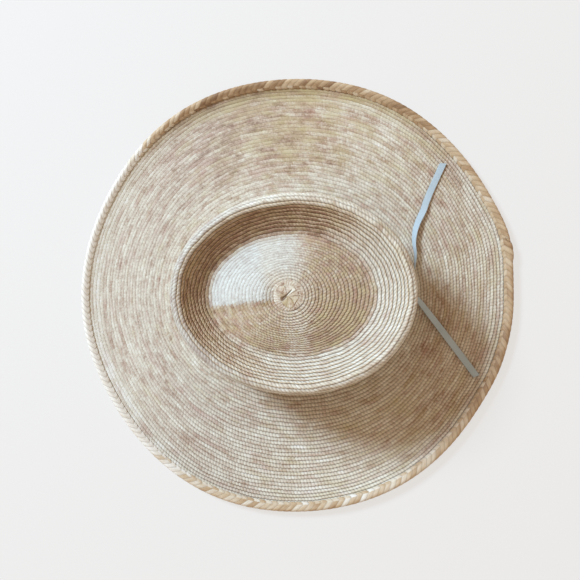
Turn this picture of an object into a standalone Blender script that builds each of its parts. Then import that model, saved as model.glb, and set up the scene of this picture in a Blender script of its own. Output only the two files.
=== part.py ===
"""Palm-braid hat with a wide round brim and an oval telescope crown.

The real hat is sewn from one flat plait of palm, coiled outwards from a start knot. The coil is
divided here where the hat-maker changes section, and each section is an object of its own.
Metres, +Z up, standing on the flat of the brim. The face looks towards -Y, the ribbon ties at +Y.
"""

import math

import bmesh
import bpy
from mathutils import Vector

# Driving dimensions.
STRAW = 0.0023             # thickness of the sewn plait
GAP = 0.0003               # clearance kept between neighbouring pieces
SEGMENTS = 48              # straight pieces in a full turn of the hat
EGG = 0.025                # how much narrower the front of the crown is than its middle
KNOT_OFFSET = (0.002, -0.004)   # the start knot lies a little off the middle of the crown

# Half length (Y), half width (X) and height of the middle of the straw, from the start knot
# over the dished crown, down its side and out to the edge of the brim.
STATIONS = (
    (0.0130, 0.0125, 0.0850),
    (0.0240, 0.0220, 0.0842),
    (0.0360, 0.0300, 0.0826),
    (0.0482, 0.0375, 0.0804),
    (0.0583, 0.0430, 0.0786),
    (0.0665, 0.0486, 0.0776),
    (0.0738, 0.0552, 0.0792),
    (0.0809, 0.0623, 0.0842),
    (0.0875, 0.0686, 0.0903),
    (0.0925, 0.0736, 0.0962),
    (0.0947, 0.0759, 0.0969),
    (0.0970, 0.0781, 0.0961),
    (0.0990, 0.0801, 0.0930),
    (0.0999, 0.0810, 0.0880),
    (0.1003, 0.0817, 0.0780),
    (0.1009, 0.0826, 0.0600),
    (0.1017, 0.0836, 0.0400),
    (0.1024, 0.0846, 0.0220),
    (0.1029, 0.0852, 0.0120),
    (0.1041, 0.0864, 0.0055),
    (0.1074, 0.0897, 0.0020),
    (0.1128, 0.0954, 0.00115),
    (0.1265, 0.1128, 0.00115),
    (0.1420, 0.1325, 0.00115),
    (0.1580, 0.1525, 0.00115),
    (0.1700, 0.1675, 0.00115),
    (0.1800, 0.1800, 0.0017),
    (0.1860, 0.1860, 0.0030),
    (0.1925, 0.1925, 0.0054),
    (0.2000, 0.2000, 0.0088),
)
VALLEY, CREST, SHOULDER, SIDE_END, BREAK_END = 5.5, 9.5, 12.5, 18, 21
FLAT_END, UPTURN, EDGE = 24, 27, 29

# The hand-trimmed outline: waves in a turn, depth and phase in degrees.
OUTLINE_WAVES = ((2, 0.0007, -27.0), (3, 0.0009, -34.0), (4, 0.0005, 28.0), (6, 0.0010, -161.0))

# The straight stretch and the corner where the edge is joined: turn and reach in degrees, depth.
JOIN_BUMPS = ((106.0, 7.0, 0.0018), (92.0, 8.0, -0.0017), (69.0, 8.0, 0.0012))

# The plaited binding, folded over the edge of the brim round a wire.
BINDING = 0.0011
BINDING_FOLD = (            # distance in from the edge and height over the middle of the straw
    (0.0085, 0.00215),
    (0.0050, 0.00220),
    (0.0026, 0.00235),
    (0.0010, 0.00185),
    (0.0003, 0.00100),
)
WIRE_RADIUS = 0.0007
WIRE_INSET = 0.0028        # from the edge of the hat to the middle of the wire
JOINER_RADIUS = 0.0012     # to the middle of the joiner's wall
JOINER_WALL = 0.0004
JOIN_SEGMENT = 14          # the vertex of the outline where the wire's ends meet
BRAID_INSET = 0.0046       # from the edge of the hat to the last row of the brim

SWEATBAND = 0.0012
SWEATBAND_LOW = 0.0095
SWEATBAND_HIGH = 0.0400

RIBBON_WIDTH = 0.0060
RIBBON = 0.0009
HATBAND_LOW = 0.0085
KNOT_TURN = math.radians(96.1)
KNOT_SIZE = (0.0120, 0.0052, 0.0085)

# Routes of the two loose tails: x, y, height of the middle over the straw, and how far the
# ribbon leans, from 0 lying flat to 90 standing on edge.
TAIL_RIGHT = (
    (-0.0165, 0.1081, 0.0068, 90.0),
    (-0.0250, 0.1098, 0.0052, 80.0),
    (-0.0360, 0.1108, 0.0042, 62.0),
    (-0.0487, 0.1096, 0.0037, 48.0),
    (-0.0588, 0.1107, 0.0032, 36.0),
    (-0.0676, 0.1136, 0.0026, 24.0),
    (-0.0777, 0.1184, 0.0020, 12.0),
    (-0.0855, 0.1211, 0.0015, 5.0),
    (-0.0956, 0.1252, 0.0011, 0.0),
    (-0.1062, 0.1300, 0.0010, 0.0),
    (-0.1167, 0.1347, 0.0012, 0.0),
    (-0.1212, 0.1367, 0.0015, 0.0),
)
TAIL_LEFT = (
    (-0.0025, 0.1087, 0.0068, 90.0),
    (0.0020, 0.1104, 0.0060, 62.0),
    (0.0075, 0.1150, 0.0048, 34.0),
    (0.0161, 0.1217, 0.0038, 22.0),
    (0.0246, 0.1284, 0.0030, 13.0),
    (0.0419, 0.1416, 0.0017, 4.0),
    (0.0590, 0.1545, 0.0011, 0.0),
    (0.0755, 0.1666, 0.0017, 0.0),
)


BISECTIONS = 40            # halvings when a place on the straw is looked for
WALK = 0.002               # step in stations when a distance along the brim is walked


# The surface of the hat.

def hermite(values, u):
    """A smooth curve through the values that never passes beyond them."""
    i = min(max(int(math.floor(u)), 0), len(values) - 2)
    f = u - i

    def slope(k):
        if k == 0:
            return values[1] - values[0]
        if k == len(values) - 1:
            return values[k] - values[k - 1]
        before = values[k] - values[k - 1]
        after = values[k + 1] - values[k]
        if before * after <= 0.0:
            return 0.0
        return 2.0 * before * after / (before + after)

    h00 = 2 * f**3 - 3 * f**2 + 1
    h10 = f**3 - 2 * f**2 + f
    h01 = -2 * f**3 + 3 * f**2
    h11 = f**3 - f**2
    return (h00 * values[i] + h10 * slope(i) + h01 * values[i + 1] + h11 * slope(i + 1))


LENGTHS, WIDTHS, HEIGHTS = zip(*STATIONS)


def fade(value, low, high):
    """0 below low, 1 above high, smooth in between."""
    f = min(max((value - low) / (high - low), 0.0), 1.0)
    return f * f * (3.0 - 2.0 * f)


def outline(turn):
    """How far the trimmed edge lies outside a true circle at this turn."""
    waves = sum(depth * math.cos(count * turn - math.radians(phase))
                for count, depth, phase in OUTLINE_WAVES)
    apart = [(math.degrees(turn) - middle + 180.0) % 360.0 - 180.0 for middle, _, _ in JOIN_BUMPS]
    return waves + sum(depth * math.exp(-(away / reach)**2)
                       for away, (_, reach, depth) in zip(apart, JOIN_BUMPS))


def turns():
    return [2 * math.pi * k / SEGMENTS for k in range(SEGMENTS)]


def outline_middle():
    """The middle of the trimmed outline's extents, which the edge is shifted back from."""
    across = [(WIDTHS[-1] + outline(turn)) * math.cos(turn) for turn in turns()]
    along = [(LENGTHS[-1] + outline(turn)) * math.sin(turn) for turn in turns()]
    return (max(across) + min(across)) / 2, (max(along) + min(along)) / 2


EDGE_SHIFT = outline_middle()


def straw_point(u, turn):
    """A point on the middle of the straw: u counts stations, turn is the angle round the hat."""
    length = hermite(LENGTHS, u)
    width = hermite(WIDTHS, u)
    on_crown = 1.0 - fade(u, SIDE_END, FLAT_END)
    to_knot = 1.0 - fade(u, 0.0, CREST)
    to_edge = fade(u, BREAK_END, UPTURN)
    wave = outline(turn) * to_edge
    width *= 1.0 + EGG * on_crown * math.sin(turn)
    x = (width + wave) * math.cos(turn) + KNOT_OFFSET[0] * to_knot - EDGE_SHIFT[0] * to_edge
    y = (length + wave) * math.sin(turn) + KNOT_OFFSET[1] * to_knot - EDGE_SHIFT[1] * to_edge
    return Vector((x, y, hermite(HEIGHTS, u)))


def straw_normal(u, turn):
    """The outward direction of the straw: up on the brim and the crown, out on the side."""
    step = 0.001
    along = straw_point(u + step, turn) - straw_point(u - step, turn)
    around = straw_point(u, turn + step) - straw_point(u, turn - step)
    return around.cross(along).normalized() * -1.0


def hat_point(u, turn, lift=0.0):
    """A point lifted off the middle of the straw along its normal."""
    return straw_point(u, turn) + straw_normal(u, turn) * lift


def station_at(values, target, low, high):
    """The place between two stations where a rising or falling measure reaches the target."""
    rising = hermite(values, high) > hermite(values, low)
    for _ in range(BISECTIONS):
        middle = (low + high) / 2
        if (hermite(values, middle) < target) == rising:
            low = middle
        else:
            high = middle
    return (low + high) / 2


def side_at(height):
    return station_at(HEIGHTS, height, SHOULDER, BREAK_END - 1)


def inward(distance):
    """The place on the brim at a distance in from its edge."""
    u = float(EDGE)
    walked = 0.0
    turn = math.pi / 2
    while walked < distance:
        walked += (straw_point(u, turn) - straw_point(u - WALK, turn)).length
        u -= WALK
    return u


def brim_height(x, y):
    """The height of the middle of the straw under a point of the brim."""
    low, high = float(SIDE_END), float(EDGE)
    for _ in range(BISECTIONS):
        middle = (low + high) / 2
        inside = (x / hermite(WIDTHS, middle))**2 + (y / hermite(LENGTHS, middle))**2 > 1.0
        low, high = (middle, high) if inside else (low, middle)
    return hermite(HEIGHTS, low)


# Building tools.

def start_empty():
    for item in list(bpy.data.objects):
        bpy.data.objects.remove(item, do_unlink=True)


def material(name, color, roughness, metallic=0.0):
    finish = bpy.data.materials.new(name)
    finish.use_nodes = True
    shader = finish.node_tree.nodes["Principled BSDF"]
    shader.inputs["Base Color"].default_value = (*color, 1.0)
    shader.inputs["Roughness"].default_value = roughness
    shader.inputs["Metallic"].default_value = metallic
    return finish


def add_mesh(name, collection, finish):
    item = bpy.data.objects.new(name, bpy.data.meshes.new(name))
    item.data.materials.append(finish)
    collection.objects.link(item)
    return item


def loft(item, rings, closed_across=False):
    """Skin rings of points with quads: each ring runs round the hat."""
    shape = bmesh.new()
    rows = [[shape.verts.new(point) for point in ring] for ring in rings]
    if closed_across:
        rows.append(rows[0])
    for inner, outer in zip(rows, rows[1:]):
        count = len(inner)
        for k in range(count):
            n = (k + 1) % count
            shape.faces.new((inner[k], outer[k], outer[n], inner[n]))
    bmesh.ops.recalc_face_normals(shape, faces=shape.faces)
    shape.to_mesh(item.data)
    shape.free()
    item.data.shade_smooth()
    item.data.set_sharp_from_angle(angle=math.radians(40))


def solidify(item, thickness):
    shell = item.modifiers.new("Thickness", "SOLIDIFY")
    shell.thickness = thickness
    shell.offset = 0.0
    shell.use_even_offset = True


def hat_shell(name, collection, finish, places, lift, thickness):
    """A closed shell along the straw, lifted off its middle: its ends stand square to the straw."""
    outside = [[hat_point(u, turn, lift + thickness / 2) for turn in turns()] for u in places]
    inside = [[hat_point(u, turn, lift - thickness / 2) for turn in turns()] for u in places]
    item = add_mesh(name, collection, finish)
    loft(item, outside + inside[::-1], closed_across=True)


def braid_section(name, collection, finish, start, end, steps):
    """One section of the sewn straw between two stations, trimmed to clear its neighbours."""
    turn = math.pi / 2
    probe = 0.01
    start_pace = (straw_point(start + probe, turn) - straw_point(start, turn)).length / probe
    end_pace = (straw_point(end, turn) - straw_point(end - probe, turn)).length / probe
    low = start + GAP / 2 / start_pace
    high = end - GAP / 2 / end_pace
    places = [low + (high - low) * k / steps for k in range(steps + 1)]
    hat_shell(name, collection, finish, places, 0.0, STRAW)


# The pieces.

def crown_button(collection, finish):
    """The start knot: a low round rosette of folded straws in the middle of the crown."""
    radius = STATIONS[0][1] - 2 * GAP
    top = 0.0022
    under = -0.0012
    outer_side = ((0.0, top), (0.55 * radius, 0.75 * top), (0.86 * radius, 0.25 * top),
                  (radius, 0.3 * under), (0.92 * radius, 1.15 * under), (0.0, 0.85 * under))
    item = add_mesh("crown_button", collection, finish)
    shape = bmesh.new()
    points = [shape.verts.new((x, 0.0, z)) for x, z in outer_side]
    for upper, lower in zip(points, points[1:]):
        shape.edges.new((upper, lower))
    shape.to_mesh(item.data)
    shape.free()
    item.location = (KNOT_OFFSET[0], KNOT_OFFSET[1], STATIONS[0][2])
    turned = item.modifiers.new("Turned", "SCREW")
    turned.axis = "Z"
    turned.steps = 20
    turned.render_steps = 20
    turned.use_merge_vertices = True
    turned.merge_threshold = 0.00001


def edge_binding(collection, finish):
    """A plait folded over the edge: a channel open towards the crown."""
    under = tuple((inset, -rise) for inset, rise in reversed(BINDING_FOLD))
    fold = (*BINDING_FOLD, (0.0, 0.0), *under)
    rings = []
    for inset, rise in fold:
        u = inward(inset + BINDING / 2)
        rings.append([hat_point(u, turn, rise) for turn in turns()])
    item = add_mesh("edge_binding", collection, finish)
    loft(item, rings)
    solidify(item, BINDING)


def wire_point(position):
    """A point of the wire: it runs straight between the vertices of the outline."""
    u = inward(WIRE_INSET)
    before = math.floor(position)
    step = 2 * math.pi / SEGMENTS
    first = hat_point(u, before * step)
    second = hat_point(u, (before + 1) * step)
    return first.lerp(second, position - before)


def brim_wire(collection, finish):
    """A round wire inside the fold of the binding, with its two ends in the joiner."""
    half_gap = 0.06
    start = JOIN_SEGMENT + half_gap
    end = JOIN_SEGMENT + SEGMENTS - half_gap
    positions = [start] + list(range(JOIN_SEGMENT + 1, JOIN_SEGMENT + SEGMENTS)) + [end]
    data = bpy.data.curves.new("brim_wire", "CURVE")
    data.dimensions = "3D"
    data.bevel_depth = WIRE_RADIUS
    data.bevel_resolution = 2
    data.use_fill_caps = True
    line = data.splines.new("POLY")
    line.points.add(len(positions) - 1)
    for point, position in zip(line.points, positions):
        point.co = (*wire_point(position), 1.0)
    data.materials.append(finish)
    collection.objects.link(bpy.data.objects.new("brim_wire", data))


def wire_joiner(collection, finish):
    """A short tube pressed over the wire's two ends."""
    item = add_mesh("wire_joiner", collection, finish)
    sides = 12
    rings = []
    for position in (-0.48, 0.0, 0.48):
        place = JOIN_SEGMENT + position
        middle = wire_point(place)
        along = (wire_point(JOIN_SEGMENT + 0.4) - wire_point(JOIN_SEGMENT - 0.4)).normalized()
        out = along.cross(Vector((0, 0, 1))).normalized()
        up = out.cross(along)
        ring = []
        for k in range(sides):
            angle = 2 * math.pi * k / sides
            ring.append(middle + (out * math.cos(angle) + up * math.sin(angle)) * JOINER_RADIUS)
        rings.append(ring)
    loft(item, rings)
    solidify(item, JOINER_WALL)


def upright_ring(name, collection, finish, low, high, lift, thickness):
    """A band round the side of the crown between two heights."""
    top = side_at(high)
    bottom = side_at(low)
    steps = 3
    places = [top + (bottom - top) * k / steps for k in range(steps + 1)]
    hat_shell(name, collection, finish, places, lift, thickness)


def hatband_knot(collection, finish):
    """The flat knot that closes the ribbon at the back of the crown."""
    depth = KNOT_SIZE[1]
    u = side_at(HATBAND_LOW + RIBBON_WIDTH / 2)
    clear = STRAW / 2 + GAP + RIBBON + 2 * GAP + depth / 2
    bpy.ops.mesh.primitive_cube_add(size=1.0)
    item = bpy.context.object
    item.name = "hatband_knot"
    item.data.name = "hatband_knot"
    for corner in item.data.vertices:
        corner.co = [corner.co[k] * KNOT_SIZE[k] * 1.18 for k in range(3)]
    item.location = hat_point(u, KNOT_TURN, clear)
    around = straw_point(u, KNOT_TURN + 0.01) - straw_point(u, KNOT_TURN - 0.01)
    item.rotation_euler.z = math.atan2(around.y, around.x)
    rounded = item.modifiers.new("Rounded", "SUBSURF")
    rounded.levels = 2
    rounded.render_levels = 2
    item.data.materials.append(finish)
    item.data.shade_smooth()
    for holder in list(item.users_collection):
        holder.objects.unlink(item)
    collection.objects.link(item)


def smooth_route(points, steps):
    """A Catmull-Rom curve through hand-chosen points."""
    ends = [points[0]] + list(points) + [points[-1]]
    route = []
    for a, b, c, d in zip(ends, ends[1:], ends[2:], ends[3:]):
        for k in range(steps):
            f = k / steps
            route.append([0.5 * (2 * q + (r - p) * f + (2 * p - 5 * q + 4 * r - s) * f**2
                                 + (3 * q - p - 3 * r + s) * f**3)
                          for p, q, r, s in zip(a, b, c, d)])
    route.append(list(points[-1]))
    return route


def ribbon_tail(name, collection, finish, points):
    """A loose flat tail: a curve drawn out sideways, with round edges and filled ends."""
    data = bpy.data.curves.new(name, "CURVE")
    data.dimensions = "3D"
    data.twist_mode = "Z_UP"
    data.extrude = RIBBON_WIDTH / 2 - RIBBON / 2
    data.bevel_depth = RIBBON / 2
    data.bevel_resolution = 1
    data.use_fill_caps = True
    route = smooth_route(points, 2)
    line = data.splines.new("POLY")
    line.points.add(len(route) - 1)
    for point, (x, y, over, lean) in zip(line.points, route):
        point.co = (x, y, brim_height(x, y) + STRAW / 2 + over, 1.0)
        point.tilt = math.radians(90.0 - lean)
    data.materials.append(finish)
    collection.objects.link(bpy.data.objects.new(name, data))


def build():
    start_empty()
    hat = bpy.data.collections.new("palm_braid_hat")
    bpy.context.scene.collection.children.link(hat)

    straw = material("palm braid", (0.62, 0.50, 0.37), 0.62)
    plait = material("edge plait", (0.50, 0.33, 0.19), 0.60)
    steel = material("galvanised wire", (0.55, 0.56, 0.57), 0.38, 1.0)
    cotton = material("cotton sweatband", (0.78, 0.73, 0.64), 0.85)
    ribbon = material("ribbon", (0.55, 0.61, 0.64), 0.70)

    crown_button(hat, straw)
    braid_section("crown_dome_braid", hat, straw, 0, VALLEY, 5)
    braid_section("crown_dish_braid", hat, straw, VALLEY, CREST, 4)
    braid_section("crown_rim_braid", hat, straw, CREST, SHOULDER, 4)
    braid_section("crown_side_braid", hat, straw, SHOULDER, SIDE_END, 4)
    braid_section("brim_break_braid", hat, straw, SIDE_END, BREAK_END, 4)
    braid_section("brim_inner_braid", hat, straw, BREAK_END, FLAT_END, 2)
    braid_section("brim_outer_braid", hat, straw, FLAT_END, UPTURN, 3)
    braid_section("brim_edge_braid", hat, straw, UPTURN, inward(BRAID_INSET), 2)
    edge_binding(hat, plait)
    brim_wire(hat, steel)
    wire_joiner(hat, steel)
    upright_ring("sweatband", hat, cotton, SWEATBAND_LOW, SWEATBAND_HIGH,
                 -(STRAW / 2 + GAP + SWEATBAND / 2), SWEATBAND)
    upright_ring("hatband", hat, ribbon, HATBAND_LOW, HATBAND_LOW + RIBBON_WIDTH,
                 STRAW / 2 + GAP + RIBBON / 2, RIBBON)
    hatband_knot(hat, ribbon)
    ribbon_tail("hatband_tail_right", hat, ribbon, TAIL_RIGHT)
    ribbon_tail("hatband_tail_left", hat, ribbon, TAIL_LEFT)


build()
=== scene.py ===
"""The looks of the palm-braid hat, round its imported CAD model: metres, +Z up, in the same frame.

The straw is one plait, coiled from the start knot to the brim and modelled bead by bead. Each CAD
section is replaced by its stretch of that coil.
"""

import math

import bmesh
import bpy
import numpy as np
from mathutils import Matrix, Vector


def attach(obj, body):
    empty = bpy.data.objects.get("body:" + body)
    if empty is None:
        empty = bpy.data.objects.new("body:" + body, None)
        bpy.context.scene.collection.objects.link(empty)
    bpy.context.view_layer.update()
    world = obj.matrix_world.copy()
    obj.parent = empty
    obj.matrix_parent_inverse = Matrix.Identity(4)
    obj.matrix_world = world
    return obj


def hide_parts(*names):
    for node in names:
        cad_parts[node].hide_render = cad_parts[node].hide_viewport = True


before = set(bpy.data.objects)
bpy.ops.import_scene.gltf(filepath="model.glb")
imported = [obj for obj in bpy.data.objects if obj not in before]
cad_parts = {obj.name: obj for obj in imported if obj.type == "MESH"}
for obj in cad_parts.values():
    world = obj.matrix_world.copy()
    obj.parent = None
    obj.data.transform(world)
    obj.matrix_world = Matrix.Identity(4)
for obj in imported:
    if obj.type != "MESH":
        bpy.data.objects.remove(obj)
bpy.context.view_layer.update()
random = np.random.default_rng(20)

# The shape of the hat, as the CAD model has it.

STRAW = 0.0023
GAP = 0.0003
EGG = 0.025
KNOT_OFFSET = (0.002, -0.004)
STATIONS = (  # half length (Y), half width (X) and height of the middle of the straw
    (0.0130, 0.0125, 0.0850), (0.0240, 0.0220, 0.0842), (0.0360, 0.0300, 0.0826),
    (0.0482, 0.0375, 0.0804), (0.0583, 0.0430, 0.0786), (0.0665, 0.0486, 0.0776),
    (0.0738, 0.0552, 0.0792), (0.0809, 0.0623, 0.0842), (0.0875, 0.0686, 0.0903),
    (0.0925, 0.0736, 0.0962), (0.0947, 0.0759, 0.0969), (0.0970, 0.0781, 0.0961),
    (0.0990, 0.0801, 0.0930), (0.0999, 0.0810, 0.0880), (0.1003, 0.0817, 0.0780),
    (0.1009, 0.0826, 0.0600), (0.1017, 0.0836, 0.0400), (0.1024, 0.0846, 0.0220),
    (0.1029, 0.0852, 0.0120), (0.1041, 0.0864, 0.0055), (0.1074, 0.0897, 0.0020),
    (0.1128, 0.0954, 0.00115), (0.1265, 0.1128, 0.00115), (0.1420, 0.1325, 0.00115),
    (0.1580, 0.1525, 0.00115), (0.1700, 0.1675, 0.00115), (0.1800, 0.1800, 0.0017),
    (0.1860, 0.1860, 0.0030), (0.1925, 0.1925, 0.0054), (0.2000, 0.2000, 0.0088),
)
VALLEY, CREST, SHOULDER, SIDE_END, BREAK_END = 5.5, 9.5, 12.5, 18, 21
FLAT_END, UPTURN, EDGE = 24, 27, 29
OUTLINE_WAVES = ((2, 0.0007, -27.0), (3, 0.0009, -34.0), (4, 0.0005, 28.0), (6, 0.0010, -161.0))
JOIN_BUMPS = ((106.0, 7.0, 0.0018), (92.0, 8.0, -0.0017), (69.0, 8.0, 0.0012))
JOIN_TURN = math.radians(105.0)
BRAID_INSET = 0.0042
SWEATBAND = 0.0012
SWEATBAND_LOW = 0.0095
SWEATBAND_HIGH = 0.0400
RIBBON_WIDTH = 0.0060
HATBAND_LOW = 0.0085
KNOT_TURN = math.radians(96.1)
KNOT_DEPTH = 0.0052
TAIL_RIGHT = (  # x, y, height of the middle over the straw, lean from 0 flat to 90 on edge
    (-0.0165, 0.1081, 0.0068, 90.0), (-0.0250, 0.1098, 0.0052, 88.0), (-0.0360, 0.1108, 0.0042, 80.0),
    (-0.0487, 0.1096, 0.0037, 64.0), (-0.0588, 0.1107, 0.0032, 44.0), (-0.0676, 0.1136, 0.0026, 27.0),
    (-0.0777, 0.1184, 0.0020, 12.0), (-0.0855, 0.1211, 0.0015, 5.0), (-0.0956, 0.1252, 0.0011, 0.0),
    (-0.1062, 0.1300, 0.0010, 0.0), (-0.1167, 0.1347, 0.0012, 0.0), (-0.1212, 0.1367, 0.0015, 0.0),
)
TAIL_LEFT = (
    (-0.0025, 0.1087, 0.0068, 90.0), (0.0020, 0.1104, 0.0060, 62.0), (0.0075, 0.1150, 0.0048, 34.0),
    (0.0161, 0.1217, 0.0038, 22.0), (0.0246, 0.1284, 0.0030, 13.0), (0.0419, 0.1416, 0.0017, 4.0),
    (0.0590, 0.1545, 0.0011, 0.0), (0.0755, 0.1666, 0.0017, 0.0),
)

# The plait.

MM = 0.001
LEE_WAY = (0.62, 0.79)  # away from the soft box, seen from above
PITCH = (  # station and distance between rows there
    (-1.0, 0.0026), (4.0, 0.0027), (5.5, 0.0031), (6.5, 0.0037),
    (12.5, 0.0038), (18.0, 0.0037), (20.0, 0.0034), (22.0, 0.00305),
    (29.0, 0.00305),
)
BEADS = (  # station and length of one bead along the row there
    (-1.0, 0.0025), (5.5, 0.0028), (8.0, 0.0033), (18.0, 0.0033),
    (22.0, 0.0031), (29.0, 0.0031),
)
STEPS = 4  # columns of the mesh in a bead
BEAD_ARCH = (0.0, 0.85, 1.0, 0.80)  # height of the columns, from one groove to the next
RELIEF = (  # station and depth of the groove between beads there, in millimetres
    (0.0, 0.26), (5.5, 0.26), (8.5, 0.36), (14.0, 0.36),
    (22.0, 0.24), (29.0, 0.28),
)
ROUNDNESS = ((0.0, 0.35), (5.5, 0.6), (7.5, 1.0), (17.0, 1.0), (22.0, 0.0), (29.0, 0.1))
SLANT = ((0.0, 0.5), (8.0, 0.85), (14.0, 0.85), (22.0, 0.35), (29.0, 0.35))  # along for 1 across
FIRST_ROW = -0.85  # the coil starts under the button
TOP_SIDE = (  # share of the row, height of a round and of a flat row, share of the relief, painted shade in the groove
    (-0.26, -0.25, -0.25, 0.0, 1.0), (-0.02, 0.10, 0.24, 0.3, 1.05), (0.22, 0.78, 0.56, 1.0, 0.24),
    (0.52, 1.10, 0.84, 1.0, 0.0), (0.84, 1.04, 1.00, 1.0, 0.06), (1.00, 0.62, 0.84, 0.6, 0.80),
)
UNDER_SIDE = (
    (0.97, 0.30, 0.46, 0.2, 1.0), (0.72, 0.00, 0.00, 0.0, 1.0), (0.62, -0.55, -0.55, 0.4, 0.6),
    (0.30, -1.02, -1.02, 1.0, 0.0), (-0.05, -1.12, -1.12, 1.0, 0.0), (-0.26, -0.75, -0.75, 0.3, 0.6),
)
FUZZY_HEIGHT = 0.76  # of the flattened tops where the straw is fuzzy
SWEEP_ROWS = 0.10  # rise for a row where a round of the hat is a circle of radius 1
OUTER_SHARE = 0.7  # of the bake layout, for the side that shows
MOST_FACES = 90000  # quads in one piece of the coil


# The surface of the hat.

def hermite(values, u):
    """A smooth curve through the values that never passes beyond them."""
    values = np.asarray(values)
    steps = np.diff(values)
    before, after = steps[:-1], steps[1:]
    same_way = before * after > 0.0
    total = np.where(same_way, before + after, 1.0)
    middle = np.where(same_way, 2.0 * before * after / total, 0.0)
    slopes = np.concatenate((steps[:1], middle, steps[-1:]))
    i = np.clip(np.floor(u).astype(int), 0, len(values) - 2)
    f = u - i
    h00 = 2 * f**3 - 3 * f**2 + 1
    h10 = f**3 - 2 * f**2 + f
    h01 = -2 * f**3 + 3 * f**2
    h11 = f**3 - f**2
    return h00 * values[i] + h10 * slopes[i] + h01 * values[i + 1] + h11 * slopes[i + 1]


LENGTHS, WIDTHS, HEIGHTS = zip(*STATIONS)


def vectors(x, y, z):
    return np.stack(np.broadcast_arrays(x, y, z), axis=-1)


def unit(ways):
    return ways / np.linalg.norm(ways, axis=-1, keepdims=True)


def walk(points, size=1.0):
    """How far along a line of points each stands, in steps of this size."""
    return np.append(0.0, np.cumsum(np.linalg.norm(np.diff(points, axis=0), axis=1) / size))


def fade(value, low, high):
    """0 below low, 1 above high, smooth in between."""
    f = np.clip((value - low) / (high - low), 0, 1)
    return f * f * (3.0 - 2.0 * f)


def outline(turn):
    """How far the edge lies outside a true circle."""
    waves = sum(depth * np.cos(count * turn - math.radians(phase))
                for count, depth, phase in OUTLINE_WAVES)
    apart = [(np.degrees(turn) - middle + 180.0) % 360.0 - 180.0 for middle, _, _ in JOIN_BUMPS]
    return waves + sum(depth * np.exp(-(away / reach)**2)
                       for away, (_, reach, depth) in zip(apart, JOIN_BUMPS))


def outline_middle():
    turn = np.arange(48) * math.tau / 48
    across = (WIDTHS[-1] + outline(turn)) * np.cos(turn)
    along = (LENGTHS[-1] + outline(turn)) * np.sin(turn)
    return (across.max() + across.min()) / 2, (along.max() + along.min()) / 2


EDGE_SHIFT = outline_middle()

RIDGE_WAY = (0.1045, -0.9945)  # direction of the fold across the dome, from the knot
RIDGE_HEIGHT = 0.0024
RIDGE_REACH = (0.010, 0.022, 0.046, 0.066)  # from the knot: begins, full, full, ends
RIDGE_SOFT, RIDGE_SHARP = 0.017, 0.0055


def from_knot(x, y):
    """Distances from the start knot: to +X, to +Y, along the fold and across it."""
    east, north = x - KNOT_OFFSET[0], y - KNOT_OFFSET[1]
    out = east * RIDGE_WAY[0] + north * RIDGE_WAY[1]
    return east, north, out, east * -RIDGE_WAY[1] + north * RIDGE_WAY[0]


def dome_ridge(x, y):
    """The low fold across the dome: soft on one side and sharp on the other."""
    _, _, out, aside = from_knot(x, y)
    width = np.where(aside > 0.0, RIDGE_SHARP, RIDGE_SOFT)
    begins, full, still_full, ends = RIDGE_REACH
    reach = fade(out, begins, full) * (1 - fade(out, still_full, ends))
    return RIDGE_HEIGHT * reach * np.exp(-(aside / width)**2)


def brim_sway(u, turn):
    """The sway of a hand-sewn brim, never below the flat it rests on."""
    wave = (np.sin(3 * turn + 1.0) + 0.7 * np.sin(5 * turn + 0.45 * u) + 0.5 * np.sin(11 * turn + u))
    return 0.00022 * (wave + 2.2) * fade(u, BREAK_END, FLAT_END) * (1 - 0.6 * fade(u, UPTURN, EDGE))


def straw_point(u, turn):
    """Points on the middle of the straw, at a station u and an angle round the hat."""
    on_crown = 1 - fade(u, SIDE_END, FLAT_END)
    to_knot = 1 - fade(u, 0, CREST)
    to_edge = fade(u, BREAK_END, UPTURN)
    wave = outline(turn) * to_edge
    width = hermite(WIDTHS, u) * (1.0 + EGG * on_crown * np.sin(turn))
    length = hermite(LENGTHS, u)
    x = (width + wave) * np.cos(turn) + KNOT_OFFSET[0] * to_knot - EDGE_SHIFT[0] * to_edge
    y = (length + wave) * np.sin(turn) + KNOT_OFFSET[1] * to_knot - EDGE_SHIFT[1] * to_edge
    z = hermite(HEIGHTS, u) + dome_ridge(x, y) * (u < VALLEY + 2) + brim_sway(u, turn)
    return vectors(x, y, z)


def straw_normal(u, turn):
    """The outward way of the straw: up on the brim and out on the side."""
    step = 0.001
    along = straw_point(u + step, turn) - straw_point(u - step, turn)
    around = straw_point(u, turn + step) - straw_point(u, turn - step)
    return unit(np.cross(along, around))


def hat_point(u, turn, lift):
    """Points lifted off the middle of the straw."""
    return straw_point(u, turn) + straw_normal(u, turn) * np.asarray(lift)[..., None]


def inward(distance):
    """The place on the brim at a distance in from its edge."""
    u = np.linspace(EDGE, UPTURN - 2, 2000)
    return float(np.interp(distance, walk(straw_point(u, math.pi / 2)), u))


def side_at(height):
    u = np.linspace(BREAK_END - 1, SHOULDER, 2000)
    return float(np.interp(height, hermite(HEIGHTS, u), u))


def brim_height(x, y):
    """The height of the middle of the straw under a point of the brim."""
    u = np.linspace(SIDE_END, EDGE, 4000)
    reach = (x / hermite(WIDTHS, u))**2 + (y / hermite(LENGTHS, u))**2
    u = u[int(np.argmax(reach <= 1.0))]
    return float(straw_point(u, math.atan2(y, x))[2])


# Rows of the plait.

def row_table():
    """Stations, and how many rows lie between the start knot and each."""
    u = np.linspace(PITCH[0][0], EDGE, 6001)
    points = straw_point(u, math.radians(45.0))
    middle = (u[1:] + u[:-1]) / 2
    count = walk(points, np.interp(middle, *zip(*PITCH)))
    return u, count - np.interp(0.0, u, count)


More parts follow.
